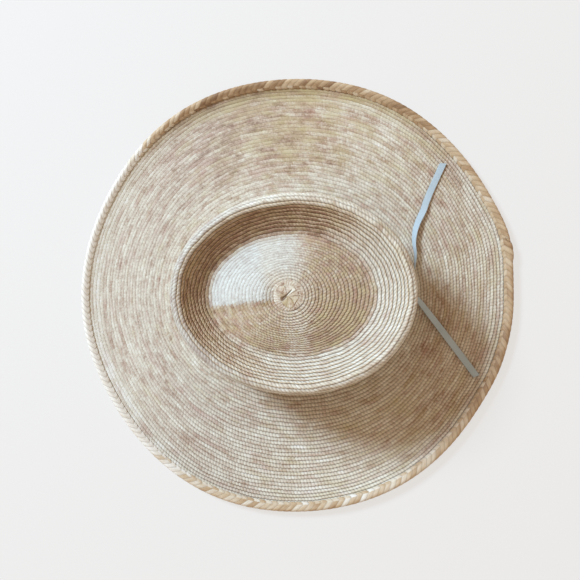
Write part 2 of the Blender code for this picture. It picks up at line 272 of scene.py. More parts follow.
ROW_STATIONS, ROW_COUNTS = row_table()
LAST_PLACE = inward(BRAID_INSET)
BAND_ROWS = tuple(inward(distance) for distance in (0.0200, 0.0192, 0.0155, 0.0147))


def row_of(u):
    return np.interp(u, ROW_STATIONS, ROW_COUNTS)


def station_of(row):
    return np.interp(row, ROW_COUNTS, ROW_STATIONS)


def row_wobble(row, turn):
    """How far a hand-sewn row wanders, in rows."""
    return (0.07 * np.sin(9 * turn + 0.7 * row) + 0.05 * np.sin(23 * turn - 0.31 * row + 1.0)
            + 0.03 * np.sin(41 * turn + 1.3 * row + 2.0)) * fade(row, 0, 6)


def coil_columns():
    """The unwound turn of each column of the coil."""
    fine = np.arange(math.tau * FIRST_ROW, math.tau * (row_of(LAST_PLACE) - 0.12), 0.004)
    points = straw_point(station_of(fine / math.tau + 0.5), fine)
    middle = station_of((fine[1:] + fine[:-1]) / (2 * math.tau) + 0.5)
    beads = walk(points, np.interp(middle, *zip(*BEADS)))
    places = np.arange(0.0, beads[-1], 1.0 / STEPS)
    count = len(places) // STEPS
    uneven = 0.16 * scatter(count + 2)
    places[:count * STEPS] += np.interp(places[:count * STEPS], np.arange(count + 2), uneven)
    return np.interp(places, beads, fine)


def scatter(count):
    return random.random(count) - 0.5


def smooth_noise(count, scale):
    """Noise from 0 to 1 along the plait that changes over about scale beads."""
    knots = random.random(int(count / scale) + 3)
    place = np.arange(count) / scale
    i = place.astype(int)
    f = place - i
    f = f * f * (3 - 2 * f)
    return knots[i] * (1 - f) + knots[i + 1] * f


def runs(count, share, shortest, longest):
    """0.65 to 1 on random runs of beads, about this share of them, and 0 elsewhere."""
    marks = np.zeros(count)
    usual = (shortest + longest) / 2
    for start in random.integers(0, count, int(count * share / usual)):
        marks[start:start + random.integers(shortest, longest + 1)] = 0.65 + 0.35 * random.random()
    return marks


def patches(turn, row, around, across):
    """Noise from 0 to 1, in `around` patches to a turn that are `across` rows deep."""
    rows = int(row.max() / across) + 4
    table = random.random((rows, around))
    i, j = (row - FIRST_ROW) / across, turn / math.tau * around
    i0, j0 = np.floor(i).astype(int), np.floor(j).astype(int)
    fi, fj = i - i0, j - j0
    fi, fj = fi * fi * (3 - 2 * fi), fj * fj * (3 - 2 * fj)
    near, far = (table[k, j0 % around] * (1 - fj) + table[k, (j0 + 1) % around] * fj
                 for k in (i0, i0 + 1))
    return near * (1 - fi) + far * fi


def stains_and_painted_light(u, x, y):
    """What stains and painted light and shade add to lightness, redness and yellowness, and how much
    painted cool light they add.
    """
    east, north, out, aside = from_knot(x, y)
    radius = np.hypot(x, y)
    lee = (x * LEE_WAY[0] + y * LEE_WAY[1]) / radius
    dome = 1 - fade(u, 4.6, 5.8)
    # Painted highlight, paler and cooler: the dome's side of the fold that faces the soft box, and the
    # dome beside the knot towards -X.
    beside = fade(-east, 0.008, 0.026) * (1 - fade(north, 0, 0.02))
    painted_dome_highlight = fade(out, 0.004, 0.022) * (1 - fade(aside, -0.0015, 0.0015))
    painted_dome_highlight = dome * np.maximum(painted_dome_highlight, 0.7 * beside)
    # Painted shade, darker and browner: the steep side of the fold, away from the soft box, and the
    # dome towards +Y.
    painted_dome_shade = fade(out, 0.004, 0.012) * fade(aside, -0.0015, 0.0015)
    painted_dome_shade = dome * np.maximum(painted_dome_shade, 1.2 * fade(north, 0.004, 0.03))
    painted_dome_shade *= 0.75 + 0.25 * fade(north, -0.02, 0.02)
    # Painted shade, darker and warmer: the inner wall on the soft box's side, which faces away from it
    # under the rim.
    wall = fade(u, 4.8, 5.8) * (1 - fade(u, 8.2, 9)) * (1 - fade(lee, -0.35, 0.25))
    wall *= 1 - 0.8 * fade(x / radius, 0.25, 0.6)
    # Painted highlight: the crest of the rim lighter and less red all round.
    crest = fade(u, 8.4, 9.3) * (1 - fade(u, 13, 14))
    # Painted shade and painted cool light: the crest towards -Y, which faces the soft box, darker and
    # cooler.
    facing = crest * fade(-y / radius, 0.1, 0.9)
    # Painted shade, darker, redder and yellower: the dome towards +X and +Y, away from the soft box.
    lower = dome * fade(east, -0.01, 0.02) + 0.6 * dome * fade(north, 0.01, 0.03)
    # Painted light, lighter, less yellow and cooler: the inner wall on the side away from the soft
    # box, which faces it.
    sunny = fade(u, 5.2, 6) * (1 - fade(u, 8.6, 9.2)) * fade(lee, 0, 0.5)
    brim = fade(u, 21, 23)
    # The brim towards -Y, nearest the soft box: painted cool light, cooler and less yellow there.
    left = brim * fade(-y, -0.02, 0.1)
    # Painted shade: the brim darker towards +Y, away from the soft box.
    right = brim * fade(y, 0.06, 0.13)
    front = brim * fade(-x, 0.02, 0.16) * np.exp(-((y + 0.03) / 0.1)**2)
    corner = brim * fade(-x, 0.02, 0.1) * fade(y, 0.02, 0.1)
    # Painted fill light: the brim lighter and yellower on the side away from the soft box.
    shaded = brim * fade(lee, 0.2, 0.8)
    # Painted shadow of the crown: the brim darker towards +Y, next to the crown.
    under = right * fade(x, -0.03, 0.02) * (1 - fade(x, 0.05, 0.1)) * (1 - fade(u, 22.4, 23.6))
    # Painted light: the upturned edge towards -Y, which tilts away from the soft box, lighter and less
    # yellow.
    turned_up = fade(u, 25.8, 27) * fade(-y, 0.08, 0.17)
    # Painted highlight: the upturned edge towards +X, which faces the soft box, lighter and less red.
    foot = fade(u, 27.6, 28.3) * fade(x, 0.11, 0.16)
    band = fade(-x, 0.115, 0.15)
    olive = band * fade(u, *BAND_ROWS[2:])
    stripe = band * fade(u, *BAND_ROWS[:2]) * (1 - fade(u, *BAND_ROWS[2:]))
    tone = 0.08 * painted_dome_highlight - 0.18 * painted_dome_shade - 0.38 * wall + 0.1 * crest - 0.26 * front
    tone += 0.3 * turned_up + 0.12 * sunny + 0.14 * shaded + 0.1 * corner
    tone += 0.16 * foot - 0.16 * olive + 0.12 * stripe - 0.02 * left
    tone -= 0.2 * facing + 0.07 * lower + 0.17 * right + 0.22 * under
    red = 0.28 * painted_dome_shade + 0.08 * wall + 0.04 * front - 0.4 * painted_dome_highlight - 0.3 * crest - 0.3 * foot
    red += 0.04 * left + 0.1 * lower
    yellow = 0.16 * brim + 0.4 * front + 0.5 * olive + 0.45 * stripe + 0.2 * wall - 0.3 * left
    yellow += 0.12 * shaded + 0.35 * painted_dome_shade + 0.25 * lower
    yellow -= 0.4 * painted_dome_highlight + 0.3 * turned_up + 0.4 * sunny
    # The painted cool light of the soft box: on the lit side of the fold, the crest and brim towards
    # -Y, and the lit inner wall.
    cool = np.clip(0.9 * painted_dome_highlight + 0.6 * facing + 0.25 * left + 0.3 * sunny, 0, 1)
    return tone, red, yellow, cool


def bead_colours(turn):
    """The colours of the bead at each unwound turn: as grown, and with stains and painted light and
    shade.
    """
    count = len(turn)
    row = turn / math.tau
    u = station_of(row + 0.5)
    places = straw_point(u, turn)
    add_tone, add_red, add_yellow, add_cool = stains_and_painted_light(u, places[:, 0], places[:, 1])
    tone = 0.56 + 0.1 * (smooth_noise(count, 2) - 0.5) + 0.1 * (smooth_noise(count, 9) - 0.5)
    tone += 0.05 * (smooth_noise(count, 450) - 0.5) + 0.14 * scatter(count)
    tone += 0.1 * (patches(turn, row, 44, 1.2) - 0.5)
    tone += 0.07 * runs(count, 0.08, 2, 8)
    brown = runs(count, 0.08, 2, 9)
    tone -= 0.08 * brown
    red = 0.2 * brown + 0.5 * (patches(turn, row, 40, 1.6) - 0.46)
    red += 0.1 * scatter(count)
    olive = 0.5 * (patches(turn, row, 36, 1.6) - 0.46) + 0.1 * scatter(count)
    own = (np.clip(tone, 0, 1), red, olive + 0.12, np.zeros(count))
    worn_and_painted = (np.clip(tone + add_tone, 0, 1), np.clip(red + add_red, -1.0, 1.0),
            np.clip(olive + add_yellow, -1.0, 1.0), add_cool)
    return own, worn_and_painted


# Meshes.

def new_object(name, data):
    item = bpy.data.objects.new(name, data)
    bpy.context.scene.collection.objects.link(item)
    return item


def smooth_mesh(name, points, faces, sharp=50.0):
    """A smooth shaded mesh from numpy points and quads."""
    mesh = bpy.data.meshes.new(name)
    mesh.vertices.add(len(points))
    mesh.vertices.foreach_set("co", np.asarray(points, np.float32).ravel())
    mesh.loops.add(faces.size)
    mesh.loops.foreach_set("vertex_index", faces.astype(np.int32).ravel())
    mesh.polygons.add(len(faces))
    mesh.polygons.foreach_set("loop_start", np.arange(0, faces.size, faces.shape[1], dtype=np.int32))
    mesh.update(calc_edges=True)
    mesh.shade_smooth()
    mesh.set_sharp_from_angle(angle=math.radians(sharp))
    return new_object(name, mesh)


def add_values(item, name, values, domain="POINT"):
    """A number or a vector for each point or face."""
    vector = domain == "POINT" and np.size(values) == 3 * len(item.data.vertices)
    layer = item.data.attributes.new(name, "FLOAT_VECTOR" if vector else "FLOAT", domain)
    layer.data.foreach_set("vector" if vector else "value", np.asarray(values, np.float32).ravel())


def tube_faces(columns, around, caps=True):
    """Quads of a closed section drawn along columns, and of its two ends."""
    column, side = np.meshgrid(np.arange(columns - 1), np.arange(around), indexing="ij")
    after = (side + 1) % around
    here, there = column * around, (column + 1) * around
    faces = np.stack((here + side, here + after, there + after, there + side), -1).reshape(-1, 4)
    if caps:
        half = around // 2 - 1
        ends = [[k, k + 1, around - 2 - k, around - 1 - k] for k in range(half)]
        first = np.array(ends)[:, ::-1]
        last = np.array(ends) + (columns - 1) * around
        faces = np.concatenate((faces, first, last))
    return faces


def lay_out(item, faces, lengths, around, outer, parts):
    """Where a tube's finish is baked: strips that each take one unit of its length, in columns of
    `parts`. The first `outer` sides lie below the rest, and the end faces go in a corner."""
    walls = (len(lengths) - 1) * around
    side = np.tile(np.arange(around), len(lengths) - 1)
    strip = np.floor(np.repeat(lengths[:-1], around))
    row = strip // parts - lengths[0] // parts
    inner = side >= outer
    start = np.where(inner, side - outer, side)[:, None] + (0, 1, 1, 0)
    across = (start + 0.15) / (np.where(inner, around - outer, outer)[:, None] + 0.3)
    tall = np.where(inner, 1 - OUTER_SHARE, OUTER_SHARE) / parts
    low = inner * OUTER_SHARE + strip % parts * tall
    corners = np.zeros((len(faces), 4, 2))
    corners[walls:] = ((0.0, 0.0), (0.004, 0.0), (0.004, 0.004), (0.0, 0.004))
    corners[:walls, :, 0] = 0.01 + 0.98 * (lengths[faces[:walls] // around] - strip[:, None])
    corners[:walls, :, 1] = low[:, None] + tall[:, None] * (row[:, None] + across) / (row.max() + 1)
    layer = item.data.uv_layers.new(name="OFBake")
    layer.data.foreach_set("uv", corners.astype(np.float32).ravel())


class Coil:
    """The coiled plait, as arrays with a row for each column of the mesh."""

    def __init__(self):
        self.tau = coil_columns()
        section = np.array(TOP_SIDE + UNDER_SIDE)
        tau = self.tau[:, None]
        beads = len(self.tau) // STEPS + 1
        bead = np.arange(len(self.tau)) // STEPS
        starts = np.resize(self.tau[::STEPS], beads)
        own, worn_and_painted = bead_colours(starts)
        at = station_of(starts / math.tau + 0.5)
        self.own = (*own, np.zeros(beads))
        # The last value marks the crown's inner wall, whose row lips get a painted highlight.
        self.worn_and_painted = (*worn_and_painted, fade(at, 5.4, 6.2) * (1 - fade(at, 8.8, 9.8)))
        step = 0.001
        u = station_of(tau / math.tau + 0.5)
        pace = np.linalg.norm(straw_point(u, tau + step) - straw_point(u, tau - step), axis=-1)
        shift = np.interp(u, *zip(*SLANT)) * np.interp(u, *zip(*PITCH)) * 2 * step / pace
        arch = np.array(BEAD_ARCH)[np.arange(len(self.tau)) % STEPS][:, None]
        share = section[:, 0] - 0.08 * (section[:, 0] > 0.9) * (1 - arch)
        turn = tau + shift * share
        row = turn / math.tau + share
        u = np.minimum(station_of(row + row_wobble(row, turn)), LAST_PLACE + 0.01 * share)
        jitter = (0.1 * scatter(beads))[bead][:, None]
        height = section[:, 2] + np.interp(u, *zip(*ROUNDNESS)) * (section[:, 1] - section[:, 2])
        near = straw_point(u, turn)
        away = near[..., 0] * LEE_WAY[0] + near[..., 1] * LEE_WAY[1]
        lee = np.where(u < VALLEY, fade(away, -0.035, 0.015), fade(away, -0.1, 0.06))
        ribbed = fade(u, 5.2, 6) * (1 - fade(u, 18, 20))
        clear = 0.24 + (0.86 - 0.2 * fade(near[..., 1], 0, 0.1)) * lee
        plain = np.maximum(clear, 1.1 * ribbed)  # how plainly the rows show here, in relief and in painted groove shade, most on the side away from the soft box
        groove = np.interp(u, *zip(*RELIEF)) * section[:, 3] * (1 - arch) * plain
        top = section[:, 2] > 0.0
        flat = FUZZY_HEIGHT + (height - FUZZY_HEIGHT) * (0.2 + 0.8 * np.minimum(plain, 1.0))
        height = np.where(top, flat, height)
        lift = height + np.where(top, -groove + jitter, groove + jitter * (section[:, 3] > 0.5))
        self.points = hat_point(u, turn, lift * MM)
        # Painted shade in the grooves between rows and beads, stronger on the side away from the soft
        # box.
        self.depth = np.clip((section[:, 4] + 0.5 * section[:, 3] * (1 - arch)) * plain, 0, 1)
        along = np.arange(len(self.tau))[:, None] / STEPS
        self.plait = vectors(along, share, tau / math.tau)
        self.sweep = vectors(np.cos(turn), np.sin(turn), row * SWEEP_ROWS)

    def piece(self, name, first, last):
        """The coil between two columns, as a closed mesh with its colours."""
        around = len(TOP_SIDE) + len(UNDER_SIDE)
        faces = tube_faces(last - first + 1, around)
        item = smooth_mesh(name, self.points[first:last + 1].reshape(-1, 3), faces)
        bead = np.repeat(np.arange(first, last) // STEPS, around)
        bead = np.append(bead, np.full(len(faces) - len(bead), first // STEPS))
        inside = np.arange(len(faces)) % around >= len(TOP_SIDE)
        for value, own, worn_and_painted in zip(("tone", "red", "olive", "cool", "lip"), self.own, self.worn_and_painted):
            add_values(item, value, np.where(inside, own[bead], worn_and_painted[bead]), "FACE")
        for value in ("depth", "plait", "sweep"):
            add_values(item, value, getattr(self, value)[first:last + 1])
        lay_out(item, faces, self.tau[first:last + 1] / math.pi, around, len(TOP_SIDE), 2)
        return item

    def column_at(self, u):
        """The first column of a bead at a station."""
        place = int(np.searchsorted(self.tau, math.tau * (row_of(u) - 0.5)))
        return min(place // STEPS * STEPS, len(self.tau) - 1)


# Materials.

def srgb(*color):
    """A display colour from 0 to 255 as linear values."""
    return (*(v / 12.92 if v <= 0.04045 else ((v + 0.055) / 1.055)**2.4
              for v in (value / 255.0 for value in color)), 1.0)


class Finish:
    """A node material, whose inputs may be values or other nodes' outputs."""

    def __init__(self, name, roughness, **inputs):
        self.material = bpy.data.materials.new(name)
        self.material.use_nodes = True
        self.tree = self.material.node_tree
        self.shader = self.tree.nodes["Principled BSDF"]
        self.set(self.shader, {"Roughness": roughness, **inputs})

    def set(self, node, inputs):
        for key, value in inputs.items():
            if isinstance(value, bpy.types.NodeSocket):
                self.tree.links.new(value, node.inputs[key])
            else:
                node.inputs[key].default_value = value

    def shade(self, inputs):
        self.set(self.shader, inputs)
        return self.material

    def add(self, kind, inputs, output=0, **settings):
        node = self.tree.nodes.new("ShaderNode" + kind)
        for key, value in settings.items():
            setattr(node, key, value)
        self.set(node, inputs)
        return node.outputs[output]

    def value(self, name):
        return self.add("Attribute", {}, "Fac", attribute_name=name)

    def vector(self, name):
        return self.add("Attribute", {}, "Vector", attribute_name=name)

    def math(self, operation, a, b=0.0, c=0.0, clamp=False):
        return self.add("Math", {0: a, 1: b, 2: c}, operation=operation, use_clamp=clamp)

    def times(self, a, b, clamp=False):
        return self.math("MULTIPLY", a, b, clamp=clamp)

    def line(self, value, slope, start, clamp=False):
        return self.math("MULTIPLY_ADD", value, slope, start, clamp)

    def ramp(self, value, stops):
        node = self.tree.nodes.new("ShaderNodeValToRGB")
        self.set(node, {"Fac": value})
        elements = node.color_ramp.elements
        while len(elements) < len(stops):
            elements.new(1.0)
        for element, (place, color) in zip(elements, stops):
            element.position = place
            element.color = color
        return node.outputs["Color"]

    def mix(self, share, a, b):
        return self.add("Mix", {0: share, 6: a, 7: b}, 2, data_type="RGBA")

    def noise(self, vector, scale, detail=2.0, roughness=0.5):
        """Noise of one scale, or of a scale for each axis."""
        if isinstance(scale, tuple):
            vector, scale = self.add("Mapping", {"Vector": vector, "Scale": scale}), 1.0
        return self.add("TexNoise", {"Vector": vector, "Scale": scale, "Detail": detail,
                                     "Roughness": roughness}, "Fac")

    def bump(self, height, distance, strength=1.0):
        return self.add("Bump", {"Height": height, "Distance": distance, "Strength": strength})


def palm_finish(name, lights):
    """Split palm: a shade for each bead, fibres along it and painted shade in the grooves."""
    mat = Finish(name, 0.55)
    place = mat.vector("plait")
    sweep = mat.vector("sweep")
    fibre = mat.noise(place, (9.0, 1.3, 5.0), 3.0, 0.6)
    tone = mat.line(fibre, 0.3, mat.value("tone"))
    tone = mat.line(mat.noise(mat.vector("position"), 28.0), 0.1, tone)
    tone = mat.line(mat.noise(sweep, (9.0, 9.0, 8.0), 3.0, 0.65), 1.15, tone)
    tone = mat.line(mat.noise(mat.vector("position"), 620.0, 2.0, 0.7), 0.75, tone)
    color = mat.ramp(mat.math("SUBTRACT", tone, 1.15), lights)
    # Red and olive tints: the straw's own patches and stains, and the warmth of the painted shade.
    for stain_and_shade, scale, most, tint in (("red", (7.0, 7.0, 5.5), 0.7, srgb(190, 150, 134)),
                                     ("olive", (-6.0, 8.0, -5.0), 0.6, srgb(202, 188, 142))):
        share = mat.line(mat.noise(sweep, scale, 2.0, 0.6), 3.0, -1.62)
        share = mat.times(mat.math("ADD", share, mat.value(stain_and_shade)), most, clamp=True)
        color = mat.mix(share, color, tint)
    # Painted cool light of the soft box, where the cool value marks it.
    color = mat.mix(mat.times(mat.value("cool"), 0.42), color, srgb(194, 210, 218))
    # Painted shade in the grooves.
    groove_shade = mat.times(mat.math("POWER", mat.value("depth"), 1.3), 0.78)
    color = mat.mix(groove_shade, color, srgb(116, 93, 73))
    # Painted highlight on the lips of the inner wall's rows.
    across = mat.add("SeparateXYZ", {"Vector": place}, "Y")
    lip = mat.times(mat.line(across, 9.0, -7.2, clamp=True), mat.value("lip"))
    color = mat.mix(mat.times(lip, 0.6), color, srgb(222, 194, 150))
    rough = mat.line(fibre, 0.35, 0.36)
    return mat.shade({"Base Color": color, "Roughness": rough,
                      "Normal": mat.bump(fibre, 0.00012), "Specular IOR Level": 0.35})


STRAW_LIGHTS = (
    (0.05, srgb(144, 114, 92)), (0.30, srgb(188, 164, 142)), (0.55, srgb(216, 205, 186)),
    (0.80, srgb(234, 229, 212)), (1.00, srgb(246, 244, 236)),
)


# Pieces of straw.

def add_piece(item, finish, slot, *nodes):
    item.data.materials.append(finish)
    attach(item, "root")
    if nodes:
        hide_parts(*nodes)


def straw_pieces():
    """Each CAD section of straw as its stretch of the coil, in parts where it is long."""
    coil = Coil()
    finish = palm_finish("palm_plait", STRAW_LIGHTS)
    sections = (("crown_dome", VALLEY), ("crown_dish", CREST), ("crown_rim", SHOULDER),
                ("crown_side", SIDE_END), ("brim_break", BREAK_END), ("brim_inner", FLAT_END),
                ("brim_outer", UPTURN), ("brim_edge", EDGE))
    around = len(TOP_SIDE) + len(UNDER_SIDE)
    start = 0
    for section, u in sections:
        end = coil.column_at(u)
        parts = math.ceil((end - start) * around / MOST_FACES)
        cuts = [start + (end - start) * k // parts // STEPS * STEPS for k in range(parts)] + [end]
        for k in range(parts):
            name = f"{section}_plait" + (f"_{k + 1}" if parts > 1 else "")
            add_piece(coil.piece(name, cuts[k], cuts[k + 1]), finish, "palm_braid", f"{section}_braid")
        start = end


# The binding.

BINDING_OUTSIDE = (  # distance in from the edge and height over the straw, in millimetres
    (8.7, 1.30), (8.4, 1.74), (7.3, 2.02), (6.0, 2.30),
    (4.6, 2.50), (3.2, 2.60), (2.0, 2.48), (1.0, 2.02),
    (0.3, 1.12),
)
BINDING_INSIDE = ((8.4, 1.18), (5.2, 1.40), (2.8, 1.58), (1.6, 1.20), (1.2, 0.45))
NARROW = 0.22  # of its width that the binding loses on the wearer's front side
STRAND = 0.0058  # width of one strand along the edge
STRAND_STEPS = 8
STRAND_SLANT = 0.9  # along for 1 across
STRAND_RELIEF = 0.28  # millimetres
TEETH = 2.3  # width of the turned selvedge at the inner edge, in millimetres
LAP = 0.013  # length of the end that lies over the start
RADIUS = 0.2  # of the brim
PAST_EDGE = 0.00375  # metres outside the edge that count as a station


def binding_section():
    """The binding's section, as (inset, rise) in millimetres, and the way out of it."""
    mirrored = tuple((inset, -rise) for inset, rise in reversed(BINDING_OUTSIDE))
    outside = np.array((*BINDING_OUTSIDE, (0.0, 0.0), *mirrored))
    below = tuple((inset, -rise) for inset, rise in BINDING_INSIDE)
    inside = np.array((*below, *reversed(BINDING_INSIDE)))
    along = np.gradient(outside, axis=0)
    out = unit(np.stack((along[:, 1], -along[:, 0]), axis=1))
    return outside, inside, out, walk(outside)


def edge_binding():
    """A herringbone plait folded over the edge, its end over its start."""
    outside, inside, out, across = binding_section()
    reach = np.linspace(0, 0.012, 60)
    places = np.array([inward(distance) for distance in reach])
    strands = round((math.tau * RADIUS + LAP) / STRAND)
    columns = strands * STRAND_STEPS + 1
    run = np.linspace(0, (math.tau * RADIUS + LAP) / RADIUS, columns)[:, None]
    base = JOIN_TURN - LAP / RADIUS + run
    f = (np.arange(columns) % STRAND_STEPS / STRAND_STEPS)[:, None]
    arch = 1 - np.abs(2 * f - 1.0)**3 - 0.25 * f * (f > 0)
    from_edge = np.minimum(across, across[-1] - across)
    shift = STRAND_SLANT * np.abs(from_edge - TEETH)
    strand = np.arange(columns) // STRAND_STEPS
    wander = (0.5 * scatter(strands + 1))[strand][:, None]
    whole = base[-1, 0] - base[0, 0]
    lap = fade(base - base[0], whole - 1.2 * LAP / RADIUS, whole - 0.9 * LAP / RADIUS)
    sunk = STRAND_RELIEF * (arch - 1.0) + 0.12 * wander + 0.95 * lap
    teeth = 0.45 * (arch - 0.5) * (from_edge < 0.9)
    inset = outside[:, 0] + out[:, 0] * sunk + teeth
    rise = outside[:, 1] + out[:, 1] * sunk
    turn = base - shift * MM / RADIUS
    narrow = 1 - NARROW * fade(np.cos(base - 1.5 * math.pi), 0.1, 0.8)
    sides = len(inside)
    inset = np.hstack((inset, inside[:, 0] - 0.3 * lap))
    inset = np.where(inset > 1.0, 1.0 + (inset - 1.0) * narrow, inset)
    rise = np.hstack((rise, inside[:, 1] + 0.95 * lap * np.sign(inside[:, 1])))
    turn = np.hstack((turn, np.repeat(base, sides, axis=1)))
    u = np.interp(np.abs(inset) * MM, reach, places) + np.minimum(inset, 0.0) * -MM / PAST_EDGE
    points = hat_point(u, turn, rise * MM)
    around = inset.shape[1]
    faces = tube_faces(columns, around)
    item = smooth_mesh("edge_binding_plait", points.reshape(-1, 3), faces, 45.0)
    place = base[::STRAND_STEPS, 0][:strands]
    pale = fade(np.cos(place - 1.5 * math.pi), 0.4, 0.97)
    degrees = np.degrees(place) % 360.0
    brown = 0.7 - 0.84 * pale - 0.26 * fade(np.cos(place), 0.3, 0.9)
    brown += 0.14 * fade(-np.cos(place), 0.4, 0.9) - 0.2 * np.exp(-((degrees - 128.0) / 22.0)**2)
    contrast = (0.15 + 0.1 * np.cos(place)**4) * (1 - 0.2 * pale)
    contrast *= 1 - 0.7 * np.exp(-((degrees - 45.0) / 30.0)**2)
    cream = random.random(strands) < 0.34
    tone = brown + contrast * np.where(cream, -1.0, 0.4) + 0.24 * scatter(strands)
    light = np.clip(np.append(tone, tone[-1]), 0, 1)
    selvedge = np.clip(np.roll(light, 1) - 0.06 + 0.2 * scatter(strands + 1), 0, 1)
    face = np.arange(len(faces))
    wall = face < (columns - 1) * around
    face_strand = np.where(wall, face // around // STRAND_STEPS, 0)
    side = np.where(wall, face % around, 0)
    tooth = np.append(from_edge, np.zeros(sides))[side] < TEETH * 0.8
    add_values(item, "tone", np.where(tooth, selvedge[face_strand], light[face_strand]), "FACE")
    # Painted shade in the grooves between strands and on the hidden inner face.
    hidden = np.hstack((np.repeat(1 - arch, len(outside), axis=1), np.ones((columns, sides))))
    add_values(item, "depth", np.clip(hidden, 0, 1))
    along = np.arange(columns)[:, None] / STRAND_STEPS
    spread = np.append(across, np.zeros(sides)) / 5.0
    add_values(item, "plait", vectors(along, spread, along * 0.1))
    lay_out(item, faces, np.linspace(0, 4.0, columns), around, len(outside), 4)
    add_piece(item, binding_finish(), "edge_plait", "edge_binding")


EDGE_LIGHTS = (
    (0.00, srgb(240, 236, 226)), (0.25, srgb(221, 208, 186)), (0.50, srgb(203, 178, 144)),
    (0.75, srgb(176, 144, 108)), (1.00, srgb(140, 108, 78)),
)


def binding_finish():
    """Broad strands, some pale and some brown, with fibres along each."""
    mat = Finish("edge_plait", 0.5)
    place = mat.vector("plait")
    fibre = mat.noise(place, (11.0, 1.5, 4.0), 3.0, 0.6)
    tone = mat.line(fibre, 0.34, mat.value("tone"))
    tone = mat.line(mat.noise(place, (0.9, 0.9, 1.0)), 0.55, tone)
    color = mat.ramp(mat.math("SUBTRACT", tone, 0.45), EDGE_LIGHTS)
    # Painted shade in the grooves.
    groove_shade = mat.times(mat.math("POWER", mat.value("depth"), 2.0), 0.4)
    color = mat.mix(groove_shade, color, srgb(122, 96, 70))
    rough = mat.line(fibre, 0.3, 0.36)
    return mat.shade({"Base Color": color, "Roughness": rough,
                      "Normal": mat.bump(fibre, 0.00015), "Specular IOR Level": 0.35})


# The start knot.

BUTTON_RADIUS = 0.0124
HEART = 0.0088  # usual radius of the folded straws inside the first round of beads
HEART_WAVES = ((2, 0.10, 0.6), (3, 0.09, 1.9), (5, 0.06, 0.4))
HEART_RISE = 0.0007
BUTTON_BEADS = 32
FOLDS = (  # where each fold's lip starts, in degrees, the step down at it, shade and yellowness
    (5.0, 0.35, 0.60, 0.75), (52.0, 0.60, 0.82, 0.6), (96.0, 0.45, 0.60, 0.3),
    (143.0, 0.40, 0.86, 0.1), (217.0, 0.50, 0.62, 0.25), (256.0, 0.40, 0.50, 0.3),
    (314.0, 0.55, 0.62, 1.0),
)
CRACK = ((0.0036, -0.0056), (-0.0052, 0.0030))  # the gap between two folds, from the middle


